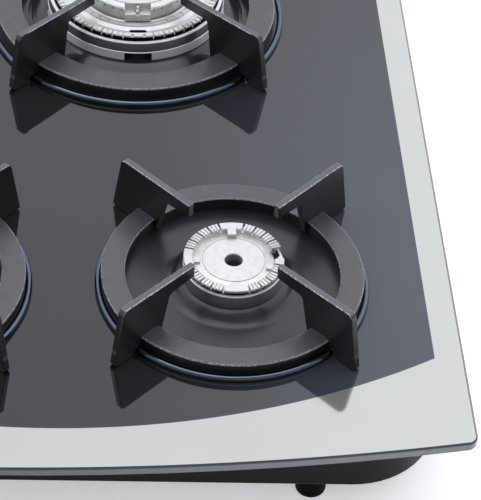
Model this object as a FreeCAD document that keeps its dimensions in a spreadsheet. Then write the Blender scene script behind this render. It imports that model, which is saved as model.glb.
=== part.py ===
import FreeCAD, Part
import Sketcher
import math
import os
from FreeCAD import Vector, Rotation, Placement

# Gas cooktop: a 90 cm five-burner hob on one sheet of tempered glass.
# Frame: X to the user's right, Y to the back, Z up, origin on the surface the
# feet stand on, under the middle of the glass.  Millimetres throughout.
# Heights marked "rel" are measured from the top of the glass.

os.makedirs("parts", exist_ok=True)
doc = FreeCAD.newDocument("gas_cooktop")
sheet = doc.addObject("Spreadsheet::Sheet", "params")
sheet.Label = "params"

TABLE = [
    # overall stack
    ("foot_height", 18), ("box_depth", 52), ("glass_thick", 7),
    # glass sheet
    ("glass_apex", 454), ("glass_half_y", 254), ("glass_bow", 1769), ("glass_corner", 8),
    ("glass_bevel", 1.2), ("hole_small", 36), ("hole_wok", 44), ("hole_knob", 9),
    # burner centres
    ("col_x", 292), ("rear_y", 107.5), ("front_y", -115), ("wok_y", 51),
    # pressed steel box under the glass
    ("box_half_x", 412.6), ("box_taper", 0.0316), ("box_half_y", 240), ("box_corner", 58), ("box_gauge", 1),
    ("box_flange", 5), ("box_bend", 1),
    # perimeter foam strip
    ("seal_in_x", 427), ("seal_in_y", 245.5), ("seal_wide", 5.5), ("seal_thick", 2),
    # feet
    ("foot_x", 398.6), ("foot_y", 156), ("foot_rad", 10),
    # pan supports
    ("sup_top", 12), ("sup_base", 2), ("fin_thick", 4.6),
    ("ring_in", 71), ("ring_out", 87),
    ("wring_in", 84.7), ("wring_out", 104),
    # drip pans
    ("bead_mid", 88.3), ("wbead_mid", 107.8), ("bead_rad", 2),
    # small burner
    ("cup_rad", 33.6), ("cup_low", 9.5), ("cup_top", 19.7), ("neck_rad", 26), ("crown_rad", 33.2),
    ("crown_top", 24.8), ("crown_hole", 5.8), ("crown_deck", 21.8),
    # wok burner
    ("wcup_rad", 65), ("wcup_low", 7.5), ("wcup_top", 22.5), ("wneck_rad", 40),
    ("wcrown_rad", 61.5), ("wcrown_top", 26.6), ("inner_rad", 41), ("inner_top", 35.5),
    # controls
    ("knob_y", -195), ("knob_pitch", 64), ("knob_rad", 22), ("knob_high", 24), ("knob_gap", 4.2),
    ("stem_rad", 4), ("plug_top", 7), ("plug_end", 5.4), ("press_travel", 3.5),
    # gas train
    ("rail_y", -170), ("rail_z", -36), ("rail_rad", 8), ("rail_wall", 1.2),
    ("tube_rad", 3), ("tube_bore", 2.2), ("tube_z", -22),
    ("inlet_x", 172), ("inlet_y", 205), ("thread_rad", 10.475),
    ("screw_rad", 2), ("screw_head", 3.8),
]
for row, (alias, value) in enumerate(TABLE, start=1):
    sheet.set("A%d" % row, alias)
    sheet.set("B%d" % row, str(value))
    sheet.setAlias("B%d" % row, alias)
doc.recompute()


class Q:
    """A size: its number and the sheet expression that gives it."""

    def __init__(self, value, text=None):
        self.v = float(value)
        self.t = text

    def expr(self):
        return self.t if self.t is not None else ("%.6f" % self.v)

    def _join(self, other, op, value):
        other = q(other)
        if self.t is None and other.t is None:
            return Q(value)
        left = self.expr() if self.t is not None else "(%s)" % self.expr()
        right = other.expr() if other.t is not None else "(%s)" % other.expr()
        return Q(value, "(%s %s %s)" % (left, op, right))

    def __add__(self, o):
        return self._join(o, "+", self.v + q(o).v)

    def __sub__(self, o):
        return self._join(o, "-", self.v - q(o).v)

    def __mul__(self, o):
        return self._join(o, "*", self.v * q(o).v)

    def __truediv__(self, o):
        return self._join(o, "/", self.v / q(o).v)

    def __radd__(self, o):
        return q(o) + self

    def __rsub__(self, o):
        return q(o) - self

    def __rmul__(self, o):
        return q(o) * self

    def __neg__(self):
        return q(-1) * self


def q(x):
    return x if isinstance(x, Q) else Q(x)


P = {}
for alias, value in TABLE:
    P[alias] = Q(value, "params." + alias)

GT = P["foot_height"] + P["box_depth"] + P["glass_thick"]      # top of the glass


def bind(obj, prop, size):
    size = q(size)
    if size.t is not None:
        obj.setExpression(prop, size.t)


def place(obj, x=0, y=0, z=0, turn=0):
    x, y, z = q(x), q(y), q(z)
    obj.Placement = Placement(Vector(x.v, y.v, z.v), Rotation(Vector(0, 0, 1), turn))
    for axis, size in (("x", x), ("y", y), ("z", z)):
        bind(obj, ".Placement.Base." + axis, size)


PIECES = []


class Piece:
    """One PartDesign body with helpers for its sketches and features."""

    def __init__(self, name, label=None, keep=True):
        self.body = doc.addObject("PartDesign::Body", name)
        self.body.Label = label or name
        self.last = None
        self.n = 0
        if keep:
            PIECES.append(self.body)

    def origin(self, role):
        for f in self.body.Origin.OriginFeatures:
            if f.Role == role:
                return f
        raise RuntimeError(role)

    def sketch(self, role="XY_Plane", offset=0, turn=0):
        self.n += 1
        sk = self.body.newObject("Sketcher::SketchObject", "%s_sketch%d" % (self.body.Name, self.n))
        sk.AttachmentSupport = [(self.origin(role), "")]
        sk.MapMode = "FlatFace"
        off = q(offset)
        sk.AttachmentOffset = Placement(Vector(0, 0, off.v), Rotation(Vector(0, 0, 1), turn))
        bind(sk, "AttachmentOffset.Base.z", off)
        return sk

    def outline(self, sk, path):
        """Closed outline.  path holds (x, y) corners, or (x, y, mx, my) where the
        corner (x, y) is reached along an arc through (mx, my)."""
        pts = [(q(p[0]), q(p[1])) for p in path]
        count = len(pts)
        first = sk.GeometryCount
        for i in range(count):
            j = (i + 1) % count
            pa = Vector(pts[i][0].v, pts[i][1].v, 0)
            pb = Vector(pts[j][0].v, pts[j][1].v, 0)
            if len(path[j]) == 4:
                pm = Vector(q(path[j][2]).v, q(path[j][3]).v, 0)
                sk.addGeometry(Part.Arc(pa, pm, pb), False)
            else:
                sk.addGeometry(Part.LineSegment(pa, pb), False)

        def end_at(geo, pt):
            return 1 if sk.getPoint(geo, 1).sub(pt).Length < sk.getPoint(geo, 2).sub(pt).Length else 2

        # each corner is joined, and held by its two distances from the origin
        for i in range(count):
            here = Vector(pts[i][0].v, pts[i][1].v, 0)
            geo, prev = first + i, first + (i - 1) % count
            e0, e1 = end_at(geo, here), end_at(prev, here)
            sk.addConstraint(Sketcher.Constraint("Coincident", prev, e1, geo, e0))
            for kind, size in (("DistanceX", pts[i][0]), ("DistanceY", pts[i][1])):
                idx = sk.addConstraint(Sketcher.Constraint(kind, -1, 1, geo, e0, size.v))
                if size.t is not None:
                    sk.setExpression("Constraints[%d]" % idx, size.t)
        return sk

    def circle(self, sk, x, y, rad):
        x, y, rad = q(x), q(y), q(rad)
        g = sk.addGeometry(Part.Circle(Vector(x.v, y.v, 0), Vector(0, 0, 1), rad.v), False)
        for kind, size in (("DistanceX", x), ("DistanceY", y)):
            idx = sk.addConstraint(Sketcher.Constraint(kind, -1, 1, g, 3, size.v))
            if size.t is not None:
                sk.setExpression("Constraints[%d]" % idx, size.t)
        idx = sk.addConstraint(Sketcher.Constraint("Radius", g, rad.v))
        if rad.t is not None:
            sk.setExpression("Constraints[%d]" % idx, rad.t)
        return sk

    def slab(self, sk, hx, hy, rad, cx=0, cy=0):
        """Rectangle with rounded corners, half sizes hx and hy."""
        hx, hy, rad, cx, cy = q(hx), q(hy), q(rad), q(cx), q(cy)
        x0, x1, y0, y1 = cx - hx, cx + hx, cy - hy, cy + hy
        k = 1 - math.cos(math.pi / 4)
        return self.outline(sk, [
            (x0 + rad, y0, x0 + rad * k, y0 + rad * k), (x1 - rad, y0),
            (x1, y0 + rad, x1 - rad * k, y0 + rad * k), (x1, y1 - rad),
            (x1 - rad, y1, x1 - rad * k, y1 - rad * k), (x0 + rad, y1),
            (x0, y1 - rad, x0 + rad * k, y1 - rad * k), (x0, y0 + rad),
        ])

    def tray(self, sk, grow=0):
        """Plan of the box: its ends spread a little towards the back.  grow offsets it outwards."""
        k = P["box_taper"]
        n = math.sqrt(1 + k.v ** 2)
        g = q(grow)
        hx, hy, rad = P["box_half_x"] + g * n, P["box_half_y"] + g, P["box_corner"] + g
        xr = hx + k * (hy - rad) - rad * n
        xf = hx - k * (hy - rad) - rad * n
        dx, dy = rad / n, rad * k / n
        low = math.atan(-k.v)

        def mid(x, y, sx, end):
            a = (low + end) / 2
            return (sx * (x.v + rad.v * math.cos(a)), y.v + rad.v * math.sin(a))

        up, dn = math.pi / 2, -math.pi / 2
        yr, yf = hy - rad, rad - hy
        return self.outline(sk, [
            (-xf, -hy) + mid(xf, yf, -1, dn), (xf, -hy),
            (xf + dx, yf - dy) + mid(xf, yf, 1, dn), (xr + dx, yr - dy),
            (xr, hy) + mid(xr, yr, 1, up), (-xr, hy),
            (-xr - dx, yr - dy) + mid(xr, yr, -1, up), (-xf - dx, yf - dy),
        ])

    def _done(self, feat, cut=False):
        before = self.last.Shape.Volume if self.last is not None else 0.0
        doc.recompute()
        vol = feat.Shape.Volume
        if cut and not vol < before - 1e-3:
            raise RuntimeError("%s %s removed nothing" % (self.body.Label, feat.Name))
        if not cut and not vol > before + 1e-3:
            raise RuntimeError("%s %s added nothing" % (self.body.Label, feat.Name))
        self.last = feat
        return feat

    def feature(self, kind):
        self.n += 1
        return self.body.newObject("PartDesign::" + kind, "%s_%s%d" % (self.body.Name, kind.lower(), self.n))

    def revolve(self, path, role="XZ_Plane", sk=None):
        if sk is None:
            sk = self.outline(self.sketch(role), path)
        f = self.feature("Revolution")
        f.Profile = sk
        f.ReferenceAxis = (sk, ["V_Axis"])
        f.Angle = 360
        return self._done(f)

    def groove(self, path, role="XZ_Plane"):
        sk = self.outline(self.sketch(role), path)
        f = self.feature("Groove")
        f.Profile = sk
        f.ReferenceAxis = (sk, ["V_Axis"])
        f.Angle = 360
        return self._done(f, cut=True)

    def pad(self, sk, length, both=False, reverse=False):
        f = self.feature("Pad")
        f.Profile = sk
        length = q(length)
        f.Length = length.v
        bind(f, "Length", length)
        if both:
            if hasattr(f, "SideType"):
                f.SideType = "Symmetric"
            else:
                f.Midplane = True
        f.Reversed = reverse
        return self._done(f)

    def pocket(self, sk, length, both=False, reverse=False):
        f = self.feature("Pocket")
        f.Profile = sk
        length = q(length)
        f.Length = length.v
        bind(f, "Length", length)
        if both:
            if hasattr(f, "SideType"):
                f.SideType = "Symmetric"
            else:
                f.Midplane = True
        f.Reversed = reverse
        return self._done(f, cut=True)

    def polar(self, feats, count, cut=True):
        f = self.feature("PolarPattern")
        f.Originals = feats
        f.Axis = (self.origin("Z_Axis"), [""])
        f.Angle = 360
        f.Occurrences = count
        self.body.Tip = f
        return self._done(f, cut=cut)

    def edges(self, test):
        doc.recompute()
        out = []
        for i, e in enumerate(self.last.Shape.Edges, start=1):
            try:
                if test(e):
                    out.append("Edge%d" % i)
            except Exception:
                pass
        return out

    def round(self, names, rad, kind="Fillet"):
        if not names:
            raise RuntimeError("%s: no edges to round" % self.body.Label)
        f = self.feature(kind)
        f.Base = (self.last, names)
        prop = "Radius" if kind == "Fillet" else "Size"
        rad = q(rad)
        setattr(f, prop, rad.v)
        bind(f, prop, rad)
        doc.recompute()
        if "Invalid" in f.State or f.Shape.isNull():
            raise RuntimeError("%s: rounding failed" % self.body.Label)
        self.last = f
        return f

    def rims(self, spots, rad, kind="Fillet"):
        """Round the circular edges that lie at the given (radius, height) spots."""
        spots = [(q(a).v, q(b).v) for a, b in spots]

        def test(e):
            c = e.Curve
            if not isinstance(c, Part.Circle):
                return False
            for r, z in spots:
                if abs(c.Radius - r) < 0.02 and abs(c.Center.z - z) < 0.02 and math.hypot(c.Center.x, c.Center.y) < 0.02:
                    return True
            return False
        return self.round(self.edges(test), rad, kind)


def solid_group(label, shapes):
    obj = doc.addObject("Part::Feature", label)
    obj.Label = label
    obj.Shape = Part.makeCompound(shapes)
    obj.Placement = Placement(Vector(0, 0, GT.v), Rotation())
    PIECES.append(obj)
    return obj


def V(name):
    return P[name].v


# burner name, centre x, centre y, side towards which its gas inlet looks
SMALL = [
    ("front_right", P["col_x"], P["front_y"], -1),
    ("rear_right", P["col_x"], P["rear_y"], -1),
    ("front_left", -P["col_x"], P["front_y"], 1),
    ("rear_left", -P["col_x"], P["rear_y"], 1),
]
KNOBS = [
    ("front_left", -2), ("rear_left", -1), ("wok", 0), ("rear_right", 1), ("front_right", 2),
]

# ---------------------------------------------------------------- glass sheet
glass = Piece("glass_panel")
apex, half_y, bow = P["glass_apex"], P["glass_half_y"], P["glass_bow"]
sag = bow.v - math.sqrt(bow.v ** 2 - half_y.v ** 2)
cx = apex - sag
sk = glass.sketch(offset=-P["glass_thick"])
glass.outline(sk, [
    (-cx, -half_y, -apex, 0), (cx, -half_y), (cx, half_y, apex, 0), (-cx, half_y),
])
glass.pad(sk, P["glass_thick"])
glass.round(glass.edges(lambda e: abs(e.tangentAt(e.FirstParameter).z) > 0.99), P["glass_corner"])
top = glass.edges(lambda e: abs(e.BoundBox.ZMin - e.BoundBox.ZMax) < 1e-6)
glass.round(top, P["glass_bevel"], "Chamfer")
sk = glass.sketch()
for name, x, y, side in SMALL:
    glass.circle(sk, x, y, P["hole_small"])
glass.circle(sk, 0, P["wok_y"], P["hole_wok"])
for name, i in KNOBS:
    glass.circle(sk, P["knob_pitch"] * i, P["knob_y"], P["hole_knob"])
glass.pocket(sk, P["glass_thick"] + 1)
place(glass.body, z=GT)

# ---------------------------------------------------------------- foam strip under the glass edge
seal = Piece("worktop_seal")
sk = seal.sketch(offset=-P["glass_thick"] - P["seal_thick"])
seal.slab(sk, P["seal_in_x"] + P["seal_wide"], P["seal_in_y"] + P["seal_wide"], 54)
seal.pad(sk, P["seal_thick"])
sk = seal.sketch(offset=-P["glass_thick"])
seal.slab(sk, P["seal_in_x"], P["seal_in_y"], 49)
seal.pocket(sk, P["seal_thick"] + 1)
place(seal.body, z=GT)

# ---------------------------------------------------------------- pressed steel box
box = Piece("burner_box")
floor_z = -P["glass_thick"] - P["box_depth"]
sk = box.sketch(offset=floor_z)
box.tray(sk)
box.pad(sk, P["box_depth"])
sk = box.sketch(offset=-P["glass_thick"])
box.tray(sk, -P["box_gauge"])
box.pocket(sk, P["box_depth"] - P["box_gauge"])
inner_floor = floor_z + P["box_gauge"]
low = box.edges(lambda e: abs(e.BoundBox.ZMin - inner_floor.v) < 0.01 and abs(e.BoundBox.ZMax - inner_floor.v) < 0.01)
box.round(low, P["box_bend"])
low = box.edges(lambda e: e.BoundBox.ZMax < floor_z.v + 0.01)
box.round(low, P["box_bend"] + P["box_gauge"])
# flange turned outwards under the glass
sk = box.sketch(offset=-P["glass_thick"] - P["box_gauge"])
box.tray(sk, P["box_flange"])
box.tray(sk, -P["box_gauge"])
box.pad(sk, P["box_gauge"])
# floor holes: inlet thread, feet, brackets, battery bay, clamp-bracket holes
sk = box.sketch(offset=inner_floor)
box.circle(sk, P["inlet_x"], P["inlet_y"], P["thread_rad"] + 0.5)
for sx in (-1, 1):
    for sy in (-1, 1):
        box.circle(sk, (P["foot_x"] + P["box_taper"] * P["foot_y"] * sy) * sx, P["foot_y"] * sy, 2.2)
        box.circle(sk, sx * 360, sy * 205, 2.25)
for x in (-292, 0, 292):
    for y in (-134 if x == 0 else -214, 212):
        box.circle(sk, x, y, 2.1)
for x in (-140, 140):
    for y in (-217, -155):
        box.circle(sk, x, y, 2.1)
box.outline(sk, [(-209, -202), (-155, -202), (-155, -184), (-209, -184)])
box.pocket(sk, P["box_gauge"] + 1)
# ventilation slots in the floor: two rows of six
sk = box.sketch(offset=inner_floor)
for i in range(6):
    for yc in (-90, 150):
        box.slab(sk, 3, 20, 2.5, -250 + 100 * i, yc)
box.pocket(sk, P["box_gauge"] + 1)
# two hooked rails under the floor carry the battery cover
for sy in (-1, 1):
    sk = box.sketch("YZ_Plane", offset=-214)
    yw, yh = -193 + 13.2 * sy, -193 + 11.4 * sy
    box.outline(sk, [(yw, floor_z + 0.2), (yw, floor_z - 1.8), (yh, floor_z - 1.8), (yh, floor_z - 2.6),
                     (yw + 1.4 * sy, floor_z - 2.6), (yw + 1.4 * sy, floor_z + 0.2)])
    box.pad(sk, 64)
place(box.body, z=GT)

# ---------------------------------------------------------------- rubber feet
def foot_shape(x, y):
    base = floor_z.v - V("foot_height")
    r = V("foot_rad")
    s = Part.makeCylinder(r, V("foot_height"), Vector(x, y, base))
    lowest = [e for e in s.Edges if isinstance(e.Curve, Part.Circle) and abs(e.Curve.Center.z - base) < 1e-6]
    s = s.makeFillet(2.5, lowest)
    s = s.cut(Part.makeCylinder(4.4, 9, Vector(x, y, base - 1)))
    s = s.cut(Part.makeCylinder(2.1, V("foot_height") + 2, Vector(x, y, base - 1)))
    return s


FEET = [(sx * (V("foot_x") + V("box_taper") * V("foot_y") * sy), sy * V("foot_y")) for sx in (-1, 1) for sy in (-1, 1)]
solid_group("rubber_feet", [foot_shape(x, y) for x, y in FEET])

# ---------------------------------------------------------------- burner bridges
def bridge(name, x, half_w, holes, front=-204):
    b = Piece(name)
    top_z = -14.0
    floor = inner_floor.v
    sk = b.sketch("YZ_Plane")
    g = 1.5
    b.outline(sk, [
        (front - 18, floor), (front, floor), (front, top_z - g), (204, top_z - g), (204, floor), (222, floor),
        (222, floor + g), (204 + g, floor + g), (204 + g, top_z), (front - g, top_z), (front - g, floor + g),
        (front - 18, floor + g),
    ])
    b.pad(sk, 2 * half_w, both=True)
    sk = b.sketch(offset=top_z)
    for y, r in holes:
        b.circle(sk, 0, y, r)
    b.pocket(sk, 3)
    # electrode passages beside each burner
    sk = b.sketch(offset=top_z)
    for y, r in holes:
        if r < 30:
            b.circle(sk, 0, y + 30.0, 3.2)
        else:
            b.circle(sk, 37.0, y, 3.2)
    b.pocket(sk, 3)
    sk = b.sketch(offset=floor + g)
    b.circle(sk, 0, front - 10, 2.1)
    b.circle(sk, 0, 212, 2.1)
    b.pocket(sk, 3)
    if front > -200:
        # the feed tube of the middle burner runs through the front leg
        sk = b.sketch("XZ_Plane", offset=-front + 4)
        b.circle(sk, 0, P["tube_z"], P["tube_rad"] + 0.8)
        b.pocket(sk, 10)
    place(b.body, x=x, z=GT)
    return b


bridge("bridge_right", P["col_x"], 40, [(V("rear_y"), 20.4), (V("front_y"), 20.4)])
bridge("bridge_left", -P["col_x"], 40, [(V("rear_y"), 20.4), (V("front_y"), 20.4)])
bridge("bridge_centre", 0, 48, [(V("wok_y"), 36.4)], front=-124)

# ---------------------------------------------------------------- drip pans (pressed enamelled dishes)
def drip_pan(name, bead_mid, seat_in, foot_pts, hole, electrode, x, y):
    """foot_pts runs from the seat inwards and up to the collar: (radius, top height)."""
    b = Piece(name)
    t = 1.0
    r0, rb = bead_mid, P["bead_rad"]
    sk = b.sketch("XZ_Plane")
    sup = P["sup_base"]
    top = [(q(p[0]), q(p[1])) + tuple(p[2:]) for p in foot_pts]
    # the underside runs back along the same points, a sheet thickness lower
    under = []
    for i in range(len(top) - 1, -1, -1):
        arc = top[i + 1][2:] if i + 1 < len(top) else ()
        under.append((top[i][0], top[i][1] - t) + ((arc[0], arc[1] - t) if arc else ()))
    # rolled bead on the glass, flat seat for the support ring, then the flank
    path = [(r0 + rb, 0), (r0 - rb, sup, r0, rb * 2), (q(seat_in), sup)]
    path += top
    path += under
    path += [(q(seat_in) + 0.4, sup - t), (r0 - rb - 0.4, sup - t), (r0 - rb + 0.4, 0)]
    b.outline(sk, path)
    b.revolve(None, sk=sk)
    if electrode is not None:
        ex, ey = electrode
        sk = b.sketch(offset=14)
        b.circle(sk, ex, ey, 2.8)
        b.pocket(sk, 16)
    place(b.body, x=x, y=y, z=GT)
    return b


def dome(r_seat, z_seat, r_top, z_top, flat, steps=9):
    """S-shaped flank from the seat up to the collar."""
    pts = []
    for i in range(1, steps + 1):
        u = i / float(steps)
        s = u * u * (3 - 2 * u)
        s = 0.25 * u + 0.75 * s
        pts.append((r_seat + (r_top - r_seat) * u, z_seat + (z_top - z_seat) * s))
    pts.append((flat, z_top))
    return pts


# the small pans are nearly flat, and rise to the collar along two tangent arcs
low = V("cup_low")
small_flank = [(46.0, low - 7.0), (38.8, low - 3.5, 42.0, low - 6.08), (31.6, low, 35.6, low - 0.92), (27.0, low)]
wok_flank = dome(80.0, V("sup_base"), 66.5, V("wcup_low"), 41.0, steps=6)
for name, x, y, side in SMALL:
    drip_pan("drip_pan_" + name, P["bead_mid"], 66.0, small_flank, 27.0, (0, 30.0), x, y)
drip_pan("drip_pan_wok", P["wbead_mid"], 80.0, wok_flank, 41.0, None, 0, P["wok_y"])

# ---------------------------------------------------------------- small burner cups
def small_cup(name, x, y, side):
    b = Piece(name)
    R, lo, hi, nk = P["cup_rad"], P["cup_low"], P["cup_top"], P["neck_rad"]
    b.revolve([
        (0, -30), (20, -30), (20, -14), (30, -14), (30, -10), (nk, -10), (nk, lo), (R - 0.5, lo), (R, lo + 0.7),
        (R - 0.35, hi - 0.5), (R - 0.8, hi), (31.4, hi), (31.4, hi - 0.3), (27.4, hi - 0.3), (27.4, 12), (22, 10.5), (17, -12),
        (17, -24), (6.5, -24), (6.5, -14), (0, -14),
    ])
    # gas inlet boss, then the jet's hole down into it
    sk = b.sketch("YZ_Plane", offset=0)
    b.circle(sk, 0, -22, 6.2)
    b.pad(sk, 36, reverse=(side < 0))
    sk = b.sketch(offset=-13.5)
    b.circle(sk, 0, 0, 2.6)
    b.pocket(sk, 12)
    sk = b.sketch("YZ_Plane", offset=36.5 * side)
    b.circle(sk, 0, -22, P["tube_rad"] + 0.05)
    b.pocket(sk, 14, reverse=(side < 0))
    sk = b.sketch("YZ_Plane", offset=26 * side)
    b.circle(sk, 0, -22, 2.2)
    b.pocket(sk, 25, reverse=(side < 0))
    # electrode passage, open to the side in the clamp flange
    sk = b.sketch(offset=hi + 1)
    b.circle(sk, 0, 30.0, 2.45)
    b.pocket(sk, 45)
    place(b.body, x=x, y=y, z=GT)
    return b


for name, x, y, side in SMALL:
    small_cup("burner_cup_" + name, x, y, side)

# ---------------------------------------------------------------- small burner crowns
def small_crown(name, x, y):
    b = Piece(name)
    R, hi, deck = P["crown_rad"], P["crown_top"], P["crown_deck"]
    seat = P["cup_top"] - 0.3
    b.revolve([
        (P["crown_hole"], 15.5), (P["crown_hole"] + 1.6, 15.5), (P["crown_hole"] + 1.6, deck - 2.2), (24.6, deck - 2.6),
        (25.2, 14), (27, 14), (27, seat), (29.8, seat), (29.8, seat + 3.2), (R, seat + 3.5),
        (R, hi - 0.5), (R - 0.4, hi), (27.6, hi), (26.9, hi - 0.5), (26.2, deck - 0.8),
        (20.85, deck - 0.15), (20.85, deck - 0.55), (20.35, deck - 0.55), (20.35, deck), (P["crown_hole"] + 0.6, deck),
        (P["crown_hole"], deck - 0.6),
    ])
    first = 15.5
    pitch = 14.75
    # posts in the recess under the rim, one below each flame slot
    sk = b.sketch(offset=seat + 0.5)
    for k in range(4):
        for i in range(5):
            if k == 0 and i == 0:
                continue
            a = math.radians(first + pitch * i + 90 * k)
            ca, sa = math.cos(a), math.sin(a)
            w = 0.6
            b.outline(sk, [(29.2 * ca + w * sa, 29.2 * sa - w * ca), (32.4 * ca + w * sa, 32.4 * sa - w * ca),
                           (32.4 * ca - w * sa, 32.4 * sa + w * ca), (29.2 * ca - w * sa, 29.2 * sa + w * ca)])
    b.pad(sk, 2.6)
    # flame slots, one quadrant and then four of them
    sk = b.sketch(offset=hi + 1)
    for i in range(5):
        a = math.radians(first + pitch * i)
        ca, sa = math.cos(a), math.sin(a)
        w = 0.75
        b.outline(sk, [(25.4 * ca + w * sa, 25.4 * sa - w * ca), (35 * ca + w * sa, 35 * sa - w * ca),
                       (35 * ca - w * sa, 35 * sa + w * ca), (25.4 * ca - w * sa, 25.4 * sa + w * ca)])
    f = b.pocket(sk, hi + 1 - (seat + 2.9))
    b.polar([f], 4)
    # fine ridges on each tooth
    sk = b.sketch(offset=hi + 1)
    for i in range(4):
        for j in (1, 2):
            a = math.radians(first + pitch * (i + j / 3.0))
            ca, sa = math.cos(a), math.sin(a)
            w = 0.32
            b.outline(sk, [(26.0 * ca + w * sa, 26.0 * sa - w * ca), (35 * ca + w * sa, 35 * sa - w * ca),
                           (35 * ca - w * sa, 35 * sa + w * ca), (26.0 * ca - w * sa, 26.0 * sa + w * ca)])
    f = b.pocket(sk, 1.9)
    b.polar([f], 4)
    # block at the back, as high as the teeth
    sk = b.sketch(offset=deck - 1.2)
    b.outline(sk, [(-2.9, 21.2), (2.9, 21.2), (2.9, 27.8), (-2.9, 27.8)])
    b.pad(sk, hi - deck + 1.2)
    # lower locating blocks inside the ring of teeth
    sk = b.sketch(offset=deck - 1.2)
    for ang in (181, 270, -17):
        a = math.radians(ang)
        ca, sa = math.cos(a), math.sin(a)
        w = 2.7
        r0, r1 = 22.4, 27.4
        b.outline(sk, [(r0 * ca + w * sa, r0 * sa - w * ca), (r1 * ca + w * sa, r1 * sa - w * ca),
                       (r1 * ca - w * sa, r1 * sa + w * ca), (r0 * ca - w * sa, r0 * sa + w * ca)])
    b.pad(sk, 2.3)
    # electrode notch
    sk = b.sketch(offset=hi + 1)
    a = math.radians(6.4)
    ca, sa = math.cos(a), math.sin(a)
    w = 5.3
    b.outline(sk, [(24.8 * ca + w * sa, 24.8 * sa - w * ca), (36 * ca + w * sa, 36 * sa - w * ca),
                   (36 * ca - w * sa, 36 * sa + w * ca), (24.8 * ca - w * sa, 24.8 * sa + w * ca)])
    b.pocket(sk, hi + 1 - seat)
    place(b.body, x=x, y=y, z=GT, turn=90)
    return b


for name, x, y, side in SMALL:
    small_crown("burner_crown_" + name, x, y)

# ---------------------------------------------------------------- wok burner cup
def wok_cup():
    b = Piece("burner_cup_wok")
    R, lo, hi, nk = P["wcup_rad"], P["wcup_low"], P["wcup_top"], P["wneck_rad"]
    b.revolve([
        (0, -34), (36, -34), (36, -14), (43, -14), (43, -10), (nk, -10), (nk, lo), (R + 1.1, lo), (R + 1.5, lo + 0.8),
        (R + 0.6, 14.2), (R + 0.1, 14.6), (R - 0.4, hi - 0.5), (R - 0.9, hi), (62.4, hi), (62.4, hi - 0.4),
        (58.0, hi - 0.4), (58.0, 13.5), (47.4, 13.5), (47.4, hi - 0.4), (43.0, hi - 0.4), (43.0, 15), (36, 15),
        (34.5, 12), (32, -8), (32, -28), (7, -28), (7, -18), (0, -18),
    ])
    # cross-over and secondary-air windows in the lower band
    sk = b.sketch(offset=13.8)
    b.outline(sk, [(51, -10), (70, -10), (70, 10), (51, 10)])
    f = b.pocket(sk, 13.8 - lo + 1)
    b.polar([f], 4)
    sk = b.sketch("XZ_Plane")
    b.circle(sk, 0, -24.2, 6.1)
    b.pad(sk, 50)
    sk = b.sketch("XZ_Plane", offset=50.5)
    b.circle(sk, 0, -24 + 2, P["tube_rad"] + 0.05)
    b.pocket(sk, 14)
    sk = b.sketch("XZ_Plane", offset=40)
    b.circle(sk, 0, -22, 2.2)
    b.pocket(sk, 36)
    sk = b.sketch(offset=-17.5)
    b.circle(sk, 0, 0, 2.8)
    b.pocket(sk, 12)
    sk = b.sketch(offset=hi + 1)
    b.circle(sk, 37.0, 0, 2.45)
    b.pocket(sk, 60)
    place(b.body, y=P["wok_y"], z=GT)
    return b


wok_cup()

# ---------------------------------------------------------------- wok outer crown
def ray_box(b, sk, ang, r0, r1, w0, w1=None):
    w1 = w0 if w1 is None else w1
    a = math.radians(ang)
    ca, sa = math.cos(a), math.sin(a)
    b.outline(sk, [(r0 * ca + w0 * sa, r0 * sa - w0 * ca), (r1 * ca + w1 * sa, r1 * sa - w1 * ca),
                   (r1 * ca - w1 * sa, r1 * sa + w1 * ca), (r0 * ca - w0 * sa, r0 * sa + w0 * ca)])


def wok_outer():
    b = Piece("wok_outer_crown")
    R, hi = P["wcrown_rad"], P["wcrown_top"]
    seat = P["wcup_top"] - 0.4
    b.revolve([
        (43.6, seat), (47.9, seat), (47.9, 15), (49.6, 15), (49.6, seat), (55.8, seat), (55.8, 15), (57.5, 15), (57.5, seat),
        (59.6, seat), (59.6, seat + 2.9), (R, seat + 3.15), (R, hi - 0.5), (R - 0.5, hi), (57.4, hi - 0.1), (56.4, 24.3), (52, 23.7), (48.2, 24.4), (47.4, 25.6),
        (44.2, 25.6), (43.6, 25.2),
    ])
    # posts in the recess under the rim, one below each flame slot
    sk = b.sketch(offset=seat + 0.6)
    for i in range(10):
        ray_box(b, sk, 10.5 + 7.6667 * i, 59.0, 61.1, 0.45)
    f = b.pad(sk, 2.2)
    b.polar([f], 4, cut=False)
    sk = b.sketch(offset=hi + 1)
    for i in range(10):
        ray_box(b, sk, 10.5 + 7.6667 * i, 55.6, 63.5, 0.6)
    f = b.pocket(sk, hi + 1 - (seat + 2.6))
    b.polar([f], 4)
    sk = b.sketch(offset=hi + 1)
    for i in range(9):
        ray_box(b, sk, 10.5 + 7.6667 * (i + 0.5), 56.2, 63.5, 0.45)
    for a in (-4, 4):
        ray_box(b, sk, a, 59.2, 63.5, 0.9)
    f = b.pocket(sk, 2.0)
    b.polar([f], 4)
    # notches of the low inner ring
    sk = b.sketch(offset=hi + 1)
    for i in range(5):
        ray_box(b, sk, 27 + 9.0 * i, 42.5, 48.6, 0.4)
    f = b.pocket(sk, 2.6)
    b.polar([f], 4)
    # the long slot through the deck at the front, seen dark between the two rings
    sk = b.sketch(offset=hi)
    b.slab(sk, 1.6, 6.2, 1.2, 52.2, 0)
    b.pocket(sk, 8)
    place(b.body, y=P["wok_y"], z=GT)
    return b


wok_outer()

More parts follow.
